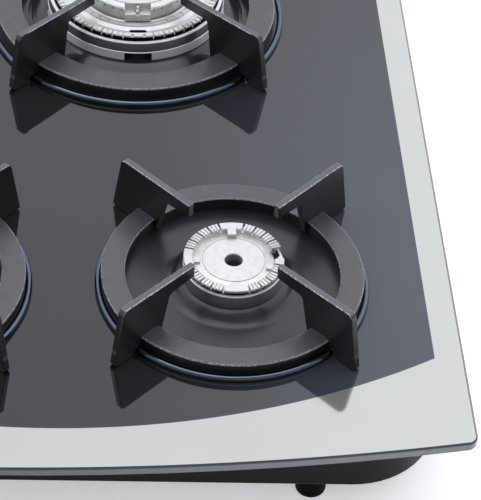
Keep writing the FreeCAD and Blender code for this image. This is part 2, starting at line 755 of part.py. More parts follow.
# ---------------------------------------------------------------- wok inner crown
def wok_inner():
    b = Piece("wok_inner_crown")
    R, hi = P["inner_rad"], P["inner_top"]
    b.revolve([
        (6.2, 18), (8.2, 18), (8.2, 28.6), (34.8, 28.6), (34.8, hi - 1.2), (R - 3, hi - 1.2), (R - 3, 15), (R + 1.6, 15),
        (R + 1.6, 23.6), (R, 24.6), (R, hi - 0.9), (R - 0.9, hi), (R - 5.4, hi + 0.5), (R - 5.4, hi), (R - 6.2, hi),
        (R - 6.2, hi + 0.6), (7.0, hi + 0.6), (6.2, hi - 0.2),
    ])
    # bridge blocks towards the outer ring, a step below the crown's top
    sk = b.sketch(offset=23.0)
    ray_box(b, sk, 0, 33.8, 42.2, 9.4)
    f1 = b.pad(sk, 8.2)
    sk = b.sketch(offset=28.6)
    ray_box(b, sk, 0, 33.8, 40.4, 11.0)
    f2 = b.pad(sk, 6.0)
    b.polar([f1, f2], 4, cut=False)
    sk = b.sketch(offset=hi + 2)
    ray_box(b, sk, 0, 34.6, 44.5, 9.4)
    f = b.pocket(sk, hi + 2 - 31.2)
    b.polar([f], 4)
    # shallow groove along each bridge
    sk = b.sketch(offset=31.2)
    ray_box(b, sk, 0, 39.6, 44.5, 1.3)
    f = b.pocket(sk, 1.2)
    b.polar([f], 4)
    # drilled ports, seven to a quadrant
    feats = []
    for i in range(7):
        sk = b.sketch("XZ_Plane")
        ang = 16.0 + 9.6667 * i
        sk.AttachmentOffset = Placement(Vector(0, 0, 0), Rotation(Vector(0, 1, 0), ang))
        b.circle(sk, 0, hi - 2.1, 0.7)
        feats.append(b.pocket(sk, R + 2, reverse=True))
    b.polar(feats, 4)
    # electrode passage
    sk = b.sketch(offset=hi + 2)
    b.circle(sk, 37.0, 0, 2.5)
    b.pocket(sk, 30)
    place(b.body, y=P["wok_y"], z=GT)
    return b


wok_inner()

# ---------------------------------------------------------------- cast iron pan supports
def pan_support(name, ring_in, ring_out, fin, x, y, turn=0):
    b = Piece(name)
    lo, hi = P["sup_base"], P["sup_top"]
    b.revolve([
        (ring_in + 0.5, lo), (ring_out - 1.6, lo), (ring_out, hi - 1.4), (ring_out - 1.4, hi, ring_out - 0.42, hi - 0.42),
        (ring_in + 1.2, hi), (ring_in, hi - 1.2, ring_in + 0.36, hi - 0.36),
    ])
    sk = b.sketch("XZ_Plane")
    sk.AttachmentOffset = Placement(Vector(0, 0, 0), Rotation(Vector(0, 1, 0), 45))
    b.outline(sk, fin)
    f = b.pad(sk, P["fin_thick"], both=True)
    b.polar([f], 4, cut=False)
    # soften the long upper edges of the four fins
    b.round(b.edges(lambda e: e.BoundBox.ZMin > 35.5 and e.Length > 20), 0.9)
    place(b.body, x=x, y=y, z=GT, turn=turn)
    return b


def fin_path(r_in, z_in, top_in, r_top, top_out, r_corner, r_foot, r_bead, r_leg, r_knee, z_knee):
    return [
        (r_in, z_in), (r_in, top_in - 0.6), (r_in + 0.6, top_in, r_in + 0.18, top_in - 0.18),
        (r_top, top_out), (r_corner, top_out - 4.3, r_top + (r_corner - r_top) * 0.72, top_out - 1.3),
        (r_foot, 3.6), (r_foot - 3.2, 0.4, r_foot - 0.94, 1.34), (r_bead + 2.6, 0.4), (r_bead + 2.0, 5.2), (r_bead - 6.4, 5.2),
        (r_bead - 6.4, 3.4), (r_leg + 1.0, 3.4), (r_leg, 4.4, r_leg + 0.3, 3.7), (r_knee + 2.2, z_knee - 8.6),
        (r_knee + 1.2, z_knee - 4.2), (r_knee - 3.0, z_knee, r_knee + 0.0, z_knee - 1.2),
    ]


small_fin = fin_path(39.4, 34.8, 44.2, 99.0, 44.9, 104.2, 110.6, 91.2, 69.2, 61.8, 33.6)
wok_fin = fin_path(46.0, 35.4, 43.8, 116.2, 45.6, 122.4, 129.4, 110.7, 77.4, 72.4, 34.6)
for name, x, y, side in SMALL:
    pan_support("pan_support_" + name, P["ring_in"], P["ring_out"], small_fin, x, y, turn=-1.8)
pan_support("pan_support_wok", P["wring_in"], P["wring_out"], wok_fin, 0, P["wok_y"])

# ---------------------------------------------------------------- knobs, stems and valve plugs
def dee_shape(b, sk, r, flat):
    """Round of radius r with a flat at x = flat."""
    r, flat = q(r), q(flat)
    h = math.sqrt(r.v ** 2 - flat.v ** 2)
    return b.outline(sk, [(flat, -h, -r.v, 0), (flat, h)])


for name, i in KNOBS:
    x, y = P["knob_pitch"] * i, P["knob_y"]
    k = Piece("knob_" + name)
    R, g0, H = P["knob_rad"], P["knob_gap"], P["knob_high"]
    k.revolve([
        (0, g0 + 1.8), (8, g0 + 1.8), (8, g0 + 15), (16.6, g0 + 15), (17.8, g0 + 6), (19.6, g0 + 3), (19.8, g0),
        (R - 0.8, g0), (R, g0 + 0.8), (R, g0 + 2.6), (R - 1.0, g0 + 3.6), (R - 2.4, g0 + 4.4), (R - 3.4, g0 + H - 2.4),
        (R - 5.6, g0 + H, R - 4.1, g0 + H - 0.7), (10, g0 + H + 0.3), (0, g0 + H + 0.3),
    ])
    sk = k.sketch(offset=g0 + H + 2)
    k.circle(sk, R - 0.9, 0, 2.9)
    f = k.pocket(sk, H - 3.2)
    k.polar([f], 18)
    sk = k.sketch(offset=g0 + 16)
    dee_shape(k, sk, P["stem_rad"] + 0.04, 2.94)
    k.pocket(sk, 20)
    sk = k.sketch(offset=g0 + H - 0.6)
    k.outline(sk, [(-1.1, 5.5), (1.1, 5.5), (1.1, 16.0), (-1.1, 16.0)])
    k.pad(sk, 1.6)
    place(k.body, x=x, y=y, z=GT)

    s = Piece("valve_stem_" + name)
    sk = s.sketch(offset=-33)
    dee_shape(s, sk, P["stem_rad"], 2.9)
    s.pad(sk, g0 + 16 + 33 - 0.4)
    sk = s.sketch(offset=-11)
    s.circle(sk, 0, 0, 5.5)
    s.pad(sk, 1.4)
    place(s.body, x=x, y=y, z=GT)

    p = Piece("valve_plug_" + name)
    p.revolve([(0, -43), (P["plug_end"], -43), (P["plug_top"], -26), (6, -26), (6, -22), (0, -22)])
    sk = p.sketch(offset=-22)
    dee_shape(p, sk, P["stem_rad"] + 0.06, 2.96)
    p.pocket(sk, 16)
    sk = p.sketch("YZ_Plane", offset=0)
    p.circle(sk, 0, -40.4, 1.5)
    p.pocket(sk, 20)
    place(p.body, x=x, y=y, z=GT)

# ---------------------------------------------------------------- valve bodies and bonnets
ky = V("knob_y")


def valve_body(x):
    s = Part.makeBox(26, 30, 29, Vector(x - 13, ky - 15, -46))
    s = s.cut(Part.makeCone(V("plug_end") + 0.05, V("plug_top") + 0.05, 17, Vector(x, ky, -43)))
    s = s.cut(Part.makeCylinder(V("plug_end") + 0.05, 0.6, Vector(x, ky, -43.6)))
    s = s.cut(Part.makeCylinder(9, 12, Vector(x, ky, -26)))
    s = s.fuse(Part.makeCylinder(4.0, 3.4, Vector(x, ky + 15, V("rail_z")), Vector(0, 1, 0)))
    s = s.cut(Part.makeCylinder(2.0, 12, Vector(x, ky + 7, V("rail_z")), Vector(0, 1, 0)))
    s = s.cut(Part.makeCylinder(V("tube_rad") + 0.05, 5.4, Vector(x, ky + 10, V("tube_z")), Vector(0, 1, 0)))
    s = s.cut(Part.makeCylinder(1.6, 8, Vector(x, ky + 6, V("tube_z")), Vector(0, 1, 0)))
    return s.removeSplitter()


def bonnet(x):
    s = Part.makeBox(26, 30, 2, Vector(x - 13, ky - 15, -17))
    s = s.fuse(Part.makeCylinder(8.8, 2.5, Vector(x, ky, -19.5)))
    s = s.cut(Part.makeCylinder(V("stem_rad") + 0.3, 8, Vector(x, ky, -20)))
    for dx, dy in ((-10, -12), (10, 12)):
        s = s.fuse(Part.makeCylinder(2.4, 1.6, Vector(x + dx, ky + dy, -15)))
    return s.removeSplitter()


def knob_seal(x):
    r0 = 4.9
    s = Part.makeCylinder(8.8, 7, Vector(x, ky, -7))
    s = s.fuse(Part.makeCylinder(12, 1.4, Vector(x, ky, 0)))
    s = s.fuse(Part.makeCylinder(11, 1.2, Vector(x, ky, -8.2)))
    return s.cut(Part.makeCylinder(r0, 14, Vector(x, ky, -10))).removeSplitter()


knob_xs = [V("knob_pitch") * i for n, i in KNOBS]
solid_group("valve_bodies", [valve_body(x) for x in knob_xs])
solid_group("valve_bonnets", [bonnet(x) for x in knob_xs])
solid_group("knob_seals", [knob_seal(x) for x in knob_xs])

# ---------------------------------------------------------------- valve bracket, gas rail, inlet
vb = Piece("valve_bracket")
sk = vb.sketch("YZ_Plane")
f0 = inner_floor.v
vb.outline(sk, [
    (-222, f0), (-210.5, f0), (-210.5, -47.5), (-161.5, -47.5), (-161.5, f0), (-150, f0), (-150, f0 + 1.5),
    (-160, f0 + 1.5), (-160, -46), (-212, -46), (-212, f0 + 1.5), (-222, f0 + 1.5),
])
vb.pad(sk, 300, both=True)
sk = vb.sketch(offset=f0 + 1.5)
for x in (-140, 140):
    for y in (-217, -155):
        vb.circle(sk, x, y, 2.1)
vb.pocket(sk, 3)
place(vb.body, z=GT)

rail = Piece("gas_rail")
sk = rail.sketch("YZ_Plane", offset=-146)
rail.circle(sk, P["rail_y"], P["rail_z"], P["rail_rad"])
rail.pad(sk, 292)
sk = rail.sketch("YZ_Plane", offset=146)
rail.circle(sk, P["rail_y"], P["rail_z"], P["rail_rad"] - P["rail_wall"])
rail.pocket(sk, 290)
sk = rail.sketch("XZ_Plane", offset=-P["rail_y"] + P["rail_rad"] + 1)
for n, i in KNOBS:
    rail.circle(sk, P["knob_pitch"] * i, P["rail_z"], 4.06)
rail.pocket(sk, P["rail_rad"])
place(rail.body, z=GT)

pipe = Piece("inlet_pipe")
bend = 22
sk = pipe.sketch(offset=P["rail_z"])
ix, iy, ry = P["inlet_x"], P["inlet_y"], P["rail_y"]
m = bend * (1 - math.cos(math.pi / 4))
pts = [Vector(146, ry.v, 0), Vector(ix.v - bend, ry.v, 0), Vector(ix.v, ry.v + bend, 0), Vector(ix.v, iy.v - 8.4, 0)]
sk.addGeometry(Part.LineSegment(pts[0], pts[1]), False)
sk.addGeometry(Part.Arc(pts[1], Vector(ix.v - m, ry.v + m, 0), pts[2]), False)
sk.addGeometry(Part.LineSegment(pts[2], pts[3]), False)
prof = pipe.sketch("YZ_Plane", offset=146)
pipe.circle(prof, P["rail_y"], P["rail_z"], P["rail_rad"])
pipe.circle(prof, P["rail_y"], P["rail_z"], P["rail_rad"] - P["rail_wall"])
f = pipe.feature("AdditivePipe")
f.Profile = prof
f.Spine = (sk, ["Edge1", "Edge2", "Edge3"])
pipe._done(f)
place(pipe.body, z=GT)

el = Piece("inlet_elbow")
el.revolve([
    (0, floor_z - 14), (P["thread_rad"] - 0.8, floor_z - 14), (P["thread_rad"], floor_z - 13.2), (P["thread_rad"], floor_z - 0.5),
    (P["thread_rad"] - 0.4, floor_z - 0.1), (P["thread_rad"] - 0.4, inner_floor), (14, inner_floor), (14, -24), (12.6, -22.6), (0, -22.6),
])
sk = el.sketch("XZ_Plane")
el.circle(sk, 0, P["rail_z"], 11)
el.pad(sk, 19)
sk = el.sketch("XZ_Plane", offset=20)
el.circle(sk, 0, P["rail_z"], P["rail_rad"] + 0.04)
el.pocket(sk, 11.6)
sk = el.sketch("XZ_Plane", offset=10)
el.circle(sk, 0, P["rail_z"], P["rail_rad"] - P["rail_wall"])
el.pocket(sk, 10)
sk = el.sketch(offset=P["rail_z"])
el.circle(sk, 0, 0, 6.8)
el.pocket(sk, 60)
place(el.body, x=P["inlet_x"], y=P["inlet_y"], z=GT)

# ---------------------------------------------------------------- runs of tube and wire
def run(points, bend, rad, bore=0.0):
    """Round tube along straight runs joined by tangent arcs."""
    pts = [Vector(*p) for p in points]
    edges = []
    start = pts[0]
    for i in range(1, len(pts) - 1):
        a = pts[i - 1].sub(pts[i]).normalize()
        c = pts[i + 1].sub(pts[i]).normalize()
        turn = math.pi - a.getAngle(c)
        cut = bend * math.tan(turn / 2)
        pa = pts[i].add(Vector(a).multiply(cut))
        pc = pts[i].add(Vector(c).multiply(cut))
        mid_dir = a.add(c).normalize()
        centre = pts[i].add(Vector(mid_dir).multiply(bend / math.cos(turn / 2)))
        pm = centre.sub(Vector(mid_dir).multiply(bend))
        edges.append(Part.LineSegment(start, pa).toShape())
        edges.append(Part.Arc(pa, pm, pc).toShape())
        start = pc
    edges.append(Part.LineSegment(start, pts[-1]).toShape())
    spine = Part.Wire(edges)
    d = pts[1].sub(pts[0]).normalize()
    outer = spine.makePipeShell([Part.Wire(Part.Circle(pts[0], d, rad).toShape())], True, True)
    if bore:
        inner = spine.makePipeShell([Part.Wire(Part.Circle(pts[0], d, bore).toShape())], True, True)
        outer = outer.cut(inner)
    return outer


tz, tr, tb = V("tube_z"), V("tube_rad"), V("tube_bore")
cxm, ry_, fy_ = V("col_x"), V("rear_y"), V("front_y")
pk = V("knob_pitch")
tubes = [
    run([(-2 * pk, ky + 10.2, tz), (-2 * pk, fy_, tz), (-cxm + 26, fy_, tz)], 16, tr, tb),
    run([(-pk, ky + 10.2, tz), (-pk, ry_, tz), (-cxm + 26, ry_, tz)], 16, tr, tb),
    run([(0, ky + 10.2, tz), (0, V("wok_y") - 40, tz)], 16, tr, tb),
    run([(pk, ky + 10.2, tz), (pk, ry_, tz), (cxm - 26, ry_, tz)], 16, tr, tb),
    run([(2 * pk, ky + 10.2, tz), (2 * pk, fy_, tz), (cxm - 26, fy_, tz)], 16, tr, tb),
]
solid_group("feed_tubes", tubes)

wy = V("wok_y")
leads = [
    run([(-200, -40, -50), (-cxm, -40, -50), (-cxm, fy_ + 30, -50), (-cxm, fy_ + 30, -30)], 9, 1.2),
    run([(-200, -20, -50), (-cxm, -20, -50), (-cxm, ry_ + 30, -50), (-cxm, ry_ + 30, -30)], 9, 1.2),
    run([(-150, -42, -46), (37, -42, -46), (37, wy, -46), (37, wy, -37.5)], 7, 1.2),
    run([(-150, -20, -54), (cxm, -20, -54), (cxm, ry_ + 30, -54), (cxm, ry_ + 30, -30)], 9, 1.2),
    run([(-150, -31, -54), (cxm, -31, -54), (cxm, fy_ + 30, -54), (cxm, fy_ + 30, -30)], 9, 1.2),
]
solid_group("ignition_leads", leads)


# ---------------------------------------------------------------- electrodes and jets
def electrode(x, y, low, collar, top):
    s = Part.makeCylinder(2.2, top - 3.6 - low, Vector(x, y, low))
    s = s.fuse(Part.makeCylinder(1.6, 3.6, Vector(x, y, top - 3.6)))
    s = s.fuse(Part.makeCylinder(3.4, 2, Vector(x, y, collar)))
    s = s.fuse(Part.makeCylinder(0.8, 2.4, Vector(x, y, top)))
    s = s.fuse(Part.makeSphere(1.05, Vector(x, y, top + 2.6)))
    s = s.fuse(Part.makeCylinder(1.3, 6, Vector(x, y, low - 6)))
    return s.removeSplitter()


def jet(x, y, seat):
    s = Part.makeCylinder(2.54, 8, Vector(x, y, seat - 8))
    s = s.fuse(Part.makeCylinder(4.4, 4.2, Vector(x, y, seat)))
    s = s.fuse(Part.makeCone(2.6, 1.7, 1.6, Vector(x, y, seat + 4.2)))
    return s.cut(Part.makeCylinder(0.55, 20, Vector(x, y, seat - 10))).removeSplitter()


spots = [(x.v, y.v) for n, x, y, side in SMALL]
solid_group("electrodes", [electrode(x, y + 30, -24, -10, 20.4) for x, y in spots] + [electrode(37, wy, -31.5, -36, 31.6)])
solid_group("burner_jets", [jet(x, y, -14) for x, y in spots] + [jet(0, wy, -18)])

# ---------------------------------------------------------------- spark module
mod = Piece("ignition_module")
sk = mod.sketch(offset=inner_floor)
mod.slab(sk, 25, 22, 3, -175, -30)
mod.pad(sk, 24)
sk = mod.sketch(offset=inner_floor)
mod.slab(sk, 5, 34, 3, -175, -30)
mod.pad(sk, 2.5)
place(mod.body, z=GT)

# ---------------------------------------------------------------- battery bay
hold = Piece("battery_holder")
sk = hold.sketch(offset=inner_floor)
hold.slab(sk, 30.5, 12.5, 2, -182, -193)
hold.pad(sk, 18)
sk = hold.sketch(offset=inner_floor + 16)
hold.outline(sk, [(-209, -202), (-155, -202), (-155, -184), (-209, -184)])
hold.pocket(sk, 18)
place(hold.body, z=GT)

cell = Piece("battery_cell")
sk = cell.sketch("YZ_Plane", offset=-207)
cell.circle(sk, -193, inner_floor + 7.7, 7.15)
cell.pad(sk, 48.6)
sk = cell.sketch("YZ_Plane", offset=-207 + 48.6)
cell.circle(sk, -193, inner_floor + 7.7, 2.7)
cell.pad(sk, 1.6)
place(cell.body, z=GT)

cov = Piece("battery_cover")
sk = cov.sketch(offset=floor_z - 1.7)
cov.outline(sk, [(-214, -206), (-151, -206), (-151, -180), (-214, -180)])
cov.pad(sk, 1.6)
sk = cov.sketch(offset=floor_z - 2.4)
for i in range(4):
    cov.outline(sk, [(-206 + 4 * i, -201), (-204.4 + 4 * i, -201), (-204.4 + 4 * i, -185), (-206 + 4 * i, -185)])
cov.pad(sk, 0.9)
place(cov.body, z=GT)


# ---------------------------------------------------------------- screws
def screw(x, y, seat, length):
    s = Part.makeCylinder(V("screw_rad"), length, Vector(x, y, seat - length))
    s = s.fuse(Part.makeCylinder(V("screw_head"), 2.4, Vector(x, y, seat)))
    slot = Part.makeBox(1.0, 9, 1.2, Vector(x - 0.5, y - 4.5, seat + 1.4))
    return s.cut(slot)


shapes = []
for x in (-cxm, 0, cxm):
    for y in (-134 if x == 0 else -214, 212):
        shapes.append(screw(x, y, inner_floor.v + 1.5, 4))
for x in (-140, 140):
    for y in (-217, -155):
        shapes.append(screw(x, y, inner_floor.v + 1.5, 4))
for x, y in FEET:
    shapes.append(screw(x, y, inner_floor.v, 10.0))
solid_group("box_screws", shapes)

# ---------------------------------------------------------------- checks and export
doc.recompute()
bad = []
for obj in doc.Objects:
    if "Invalid" in obj.State or "Error" in obj.State:
        bad.append("%s state %s" % (obj.Label, obj.State))
for obj in PIECES:
    if obj.Shape.isNull() or not obj.Shape.isValid() or not obj.Shape.Solids:
        bad.append("%s shape" % obj.Label)
if bad:
    raise RuntimeError("; ".join(bad))
labels = [o.Label for o in PIECES]
if len(set(labels)) != len(labels):
    raise RuntimeError("labels repeat")
for obj in PIECES:
    obj.Shape.exportStep(os.path.join("parts", obj.Label + ".step"))
print("%d pieces" % len(PIECES))
for obj in PIECES:
    bb = obj.Shape.BoundBox
    print("%-28s %2d solids %5d faces  x %7.1f %7.1f  y %7.1f %7.1f  z %6.1f %6.1f" % (
        obj.Label, len(obj.Shape.Solids), len(obj.Shape.Faces), bb.XMin, bb.XMax, bb.YMin, bb.YMax, bb.ZMin, bb.ZMax))
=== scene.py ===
import math

import bpy
from mathutils import Matrix, Vector

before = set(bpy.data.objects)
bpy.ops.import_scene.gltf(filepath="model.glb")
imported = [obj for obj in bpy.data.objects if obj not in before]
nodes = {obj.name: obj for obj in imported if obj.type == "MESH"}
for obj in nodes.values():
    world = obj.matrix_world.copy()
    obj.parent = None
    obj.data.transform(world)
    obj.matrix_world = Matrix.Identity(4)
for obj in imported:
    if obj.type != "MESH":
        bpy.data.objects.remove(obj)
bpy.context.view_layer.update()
scene = bpy.context.scene

SMALL = {"front_right": (0.292, -0.115), "rear_right": (0.292, 0.1075),
         "front_left": (-0.292, -0.115), "rear_left": (-0.292, 0.1075)}
WOK = (0.0, 0.051)
CENTRES = dict(SMALL, wok=WOK)
KNOB_X = {"front_left": -0.128, "rear_left": -0.064, "wok": 0.0, "rear_right": 0.064, "front_right": 0.128}
KNOB_Y = -0.195
GLASS = 0.077
RING_TOP = 0.012


def srgb(r, g, b):
    out = []
    for v in (r, g, b):
        v /= 255.0
        out.append(v / 12.92 if v <= 0.04045 else ((v + 0.055) / 1.055) ** 2.4)
    return tuple(out) + (1.0,)


# ------------------------------------------------------------------ node helpers
class Mat:
    """A node material with short names for the nodes it needs."""

    def __init__(self, name):
        self.m = bpy.data.materials.new(name)
        self.m.use_nodes = True
        self.t = self.m.node_tree
        self.t.nodes.clear()
        self.out = self.t.nodes.new("ShaderNodeOutputMaterial")
        self.bsdf = self.t.nodes.new("ShaderNodeBsdfPrincipled")
        self.t.links.new(self.bsdf.outputs[0], self.out.inputs[0])
        self._pos = None

    def set(self, **kw):
        for k, v in kw.items():
            self.bsdf.inputs[k.replace("_", " ")].default_value = v
        return self

    def link(self, a, b):
        self.t.links.new(a, b)

    def plug(self, src, name):
        self.t.links.new(src, self.bsdf.inputs[name])

    def node(self, kind, **kw):
        n = self.t.nodes.new(kind)
        for k, v in kw.items():
            setattr(n, k, v)
        return n

    def pos(self):
        if self._pos is None:
            self._pos = self.node("ShaderNodeTexCoord").outputs["Object"]
        return self._pos

    def xyz(self, vec=None):
        s = self.node("ShaderNodeSeparateXYZ")
        self.link(vec or self.pos(), s.inputs[0])
        return s.outputs[0], s.outputs[1], s.outputs[2]

    def math(self, op, a, b=None, c=None, clamp=False):
        n = self.node("ShaderNodeMath", operation=op, use_clamp=clamp)
        for i, v in enumerate((a, b, c)):
            if v is None:
                continue
            if isinstance(v, (int, float)):
                n.inputs[i].default_value = v
            else:
                self.link(v, n.inputs[i])
        return n.outputs[0]

    def vec(self, x, y, z):
        n = self.node("ShaderNodeCombineXYZ")
        for i, v in enumerate((x, y, z)):
            if isinstance(v, (int, float)):
                n.inputs[i].default_value = v
            else:
                self.link(v, n.inputs[i])
        return n.outputs[0]

    def scale(self, vec, factors):
        n = self.node("ShaderNodeVectorMath", operation="MULTIPLY")
        self.link(vec, n.inputs[0])
        n.inputs[1].default_value = factors
        return n.outputs[0]

    def noise(self, size, detail=3.0, rough=0.55, vec=None):
        """Noise whose features are about size metres across, 0 to 1."""
        n = self.node("ShaderNodeTexNoise")
        n.inputs["Scale"].default_value = 1.0 / size
        n.inputs["Detail"].default_value = detail
        n.inputs["Roughness"].default_value = rough
        self.link(vec or self.pos(), n.inputs["Vector"])
        return n.outputs["Fac"]

    def remap(self, src, a, b, c, d, kind="LINEAR"):
        n = self.node("ShaderNodeMapRange", interpolation_type=kind)
        self.link(src, n.inputs[0])
        for i, v in enumerate((a, b, c, d)):
            n.inputs[i + 1].default_value = v
        return n.outputs[0]

    def mix(self, fac, a, b):
        n = self.node("ShaderNodeMix", data_type="RGBA")
        if isinstance(fac, (int, float)):
            n.inputs[0].default_value = fac
        else:
            self.link(fac, n.inputs[0])
        for i, v in ((6, a), (7, b)):
            if isinstance(v, tuple):
                n.inputs[i].default_value = v
            else:
                self.link(v, n.inputs[i])
        return n.outputs[2]

    def mix_value(self, fac, a, b):
        """a where fac is 0, b where fac is 1."""
        return self.math("ADD", self.math("MULTIPLY", a, self.math("SUBTRACT", 1.0, fac)), self.math("MULTIPLY", fac, b))

    def bump(self, height, strength, dist, normal=None):
        n = self.node("ShaderNodeBump")
        n.inputs["Strength"].default_value = strength
        n.inputs["Distance"].default_value = dist
        self.link(height, n.inputs["Height"])
        if normal is not None:
            self.link(normal, n.inputs["Normal"])
        return n.outputs[0]

    def bevel(self, radius):
        n = self.node("ShaderNodeBevel", samples=6)
        n.inputs[0].default_value = radius
        return n.outputs[0]

    def radial(self, cx, cy):
        """Distance from the upright line through (cx, cy)."""
        x, y, z = self.xyz()
        dx = self.math("SUBTRACT", x, cx)
        dy = self.math("SUBTRACT", y, cy)
        return self.math("SQRT", self.math("ADD", self.math("MULTIPLY", dx, dx), self.math("MULTIPLY", dy, dy)))


def dress(names, mat):
    for n in names:
        o = nodes[n]
        o.data.materials.clear()
        o.data.materials.append(mat.m)


# ------------------------------------------------------------------ glass sheet with its print
g = Mat("glass_print_mat")
g.set(IOR=1.06, Coat_Weight=1.0, Coat_IOR=1.62, Coat_Roughness=0.03)
x, y, z = g.xyz()
ax = g.math("ABSOLUTE", x)
ay = g.math("ABSOLUTE", y)


def arc_distance(shift):
    """Distance from the middle of a bowed end's arc, the same at both ends."""
    axo = g.math("ADD", ax, shift)
    return g.math("SQRT", g.math("ADD", g.math("MULTIPLY", axo, axo), g.math("MULTIPLY", y, y)))


# dark field with bowed ends, silver border up to a bare strip along the rim
arc = g.remap(arc_distance(0.0796), 0.49985, 0.50015, 0.0, 1.0)
side = g.remap(ay, 0.23445, 0.23475, 0.0, 1.0)
silver = g.math("MAXIMUM", arc, side)
bare = g.math("MAXIMUM", g.remap(ay, 0.25235, 0.25265, 0.0, 1.0), g.remap(arc_distance(1.315), 1.76735, 1.76765, 0.0, 1.0))
bare = g.math("MAXIMUM", bare, g.remap(z, 0.07690, 0.07697, 1.0, 0.0))
mirror = g.math("MULTIPLY", silver, g.math("SUBTRACT", 1.0, bare))
flake = g.remap(g.noise(0.00035, 1.0), 0.35, 0.65, 0.97, 1.02)
cloud = g.remap(g.noise(0.06, 2.0), 0.3, 0.7, 0.99, 1.01)
fl = g.math("MULTIPLY", flake, cloud)
silver_col = g.node("ShaderNodeMix", data_type="RGBA", blend_type="MULTIPLY")
silver_col.inputs[0].default_value = 1.0
silver_col.inputs[6].default_value = (0.484, 0.486, 0.457, 1.0)
g.link(g.vec(fl, fl, fl), silver_col.inputs[7])
dark_col = g.mix(g.noise(0.09, 2.0), srgb(19, 19, 21), srgb(24, 24, 27))
# painted reflection: the dark print is tinted slate-blue towards +y and +x, standing in for a bluish reflection
painted_reflection_tint = g.math("MULTIPLY", g.remap(y, 0.02, 0.23, 0.0, 1.0, "SMOOTHSTEP"), g.remap(x, -0.15, 0.30, 0.2, 1.0, "SMOOTHSTEP"))
dark_col = g.mix(painted_reflection_tint, dark_col, srgb(56, 58, 69))
top_col = g.mix(silver, dark_col, silver_col.outputs[2])
rim_col = g.mix(bare, top_col, srgb(58, 61, 62))
# ground edge, painted darker towards -y and lighter towards +y (painted shade), with a painted highlight on the arris
# at its foot
edge_mask = g.remap(z, 0.07605, 0.07615, 1.0, 0.0)
edge_noise = g.noise(0.004, 3.0, vec=g.scale(g.pos(), (1.0, 1.0, 0.2)))
edge_painted_shade = g.remap(y, -0.10, 0.22, 0.0, 1.0, "SMOOTHSTEP")
edge_col = g.mix(edge_noise, g.mix(edge_painted_shade, srgb(50, 53, 54), srgb(92, 94, 96)), g.mix(edge_painted_shade, srgb(66, 70, 71), srgb(110, 112, 114)))
edge_col = g.mix(g.remap(z, 0.07055, 0.07080, 1.0, 0.0), edge_col, g.mix(edge_painted_shade, srgb(116, 120, 121), srgb(158, 160, 162)))
col = g.mix(edge_mask, rim_col, edge_col)
g.plug(col, "Base Color")
g.plug(g.math("MULTIPLY", mirror, 0.78), "Metallic")
rough = g.remap(g.noise(0.03, 4.0, 0.7), 0.35, 0.75, 0.09, 0.12)
rough = g.math("MAXIMUM", rough, g.math("MULTIPLY", edge_mask, 0.5))
g.plug(rough, "Roughness")
g.plug(g.bump(g.noise(0.25, 1.0), 0.03, 0.001), "Normal")
dress(["glass_panel"], g)


# ------------------------------------------------------------------ satin enamelled cast iron
def iron(name, cx, cy, ring_top):
    """Black enamelled iron, satin: painted lighter where it faces up and lighter still on the fin arms (painted
    light), with speckled painted highlights along its rounded upper edges.
    """
    m = Mat(name)
    m.set(IOR=1.68)
    geo = m.node("ShaderNodeNewGeometry")
    soft = m.bevel(0.0006)
    nx, ny, nz = m.xyz(geo.outputs["Normal"])
    sx, sy, sz = m.xyz(soft)
    x, y, z = m.xyz()
    r = m.radial(cx, cy)
    outward = m.math("ADD", m.math("MULTIPLY", nx, m.math("SUBTRACT", x, cx)), m.math("MULTIPLY", ny, m.math("SUBTRACT", y, cy)))
    outward = m.math("ABSOLUTE", m.math("DIVIDE", outward, r))
    high = m.remap(z, ring_top + 0.0010, ring_top + 0.0020, 0.0, 1.0)
    # the rounded edges: along the fins they turn sideways, round the ring in or out
    turned = m.math("MULTIPLY", m.remap(nz, 0.10, 0.35, 0.0, 1.0), m.remap(nz, 0.84, 0.95, 1.0, 0.0))
    along = m.math("MULTIPLY", high, m.remap(outward, 0.35, 0.50, 1.0, 0.0))
    around = m.math("MULTIPLY", m.remap(z, ring_top - 0.0015, ring_top - 0.0013, 0.0, 1.0), m.math("SUBTRACT", 1.0, high))
    painted_edge_highlight = m.math("MULTIPLY", turned, m.math("ADD", along, m.math("MULTIPLY", around, 0.55)))
    speck = m.remap(m.noise(0.0013, 3.0, 0.65), 0.40, 0.62, 0.15, 1.0)
    painted_edge_highlight = m.math("MULTIPLY", painted_edge_highlight, speck)
    body = m.mix(m.remap(m.noise(0.012, 4.0), 0.3, 0.7, 0.0, 1.0), srgb(23, 23, 26), srgb(30, 30, 33))
    painted_lit_top = m.mix(m.remap(m.noise(0.010, 4.0), 0.3, 0.7, 0.0, 1.0), srgb(54, 54, 58), srgb(65, 65, 70))
    painted_lit_arm = m.mix(m.remap(m.noise(0.010, 4.0), 0.3, 0.7, 0.0, 1.0), srgb(66, 66, 71), srgb(80, 80, 86))
    # painted light: faces turned up get lighter copies of the iron colour, lighter still on the fin arms above the
    # ring
    body = m.mix(m.remap(sz, 0.80, 0.98, 0.0, 1.0), body, m.mix(high, painted_lit_top, painted_lit_arm))
    # painted highlight: speckled light grey along the rounded upper edges
    m.plug(m.mix(painted_edge_highlight, body, srgb(206, 206, 211)), "Base Color")
    m.plug(m.remap(m.noise(0.006, 4.0), 0.3, 0.7, 0.28, 0.38), "Roughness")
    n = m.bump(m.noise(0.0035, 3.0), 0.35, 0.00006, soft)
    n = m.bump(m.noise(0.0009, 2.0), 0.5, 0.00008, n)
    m.plug(n, "Normal")
    return m


for n, (cx, cy) in CENTRES.items():
    dress(["pan_support_" + n], iron("iron_%s_mat" % n, cx, cy, GLASS + RING_TOP))


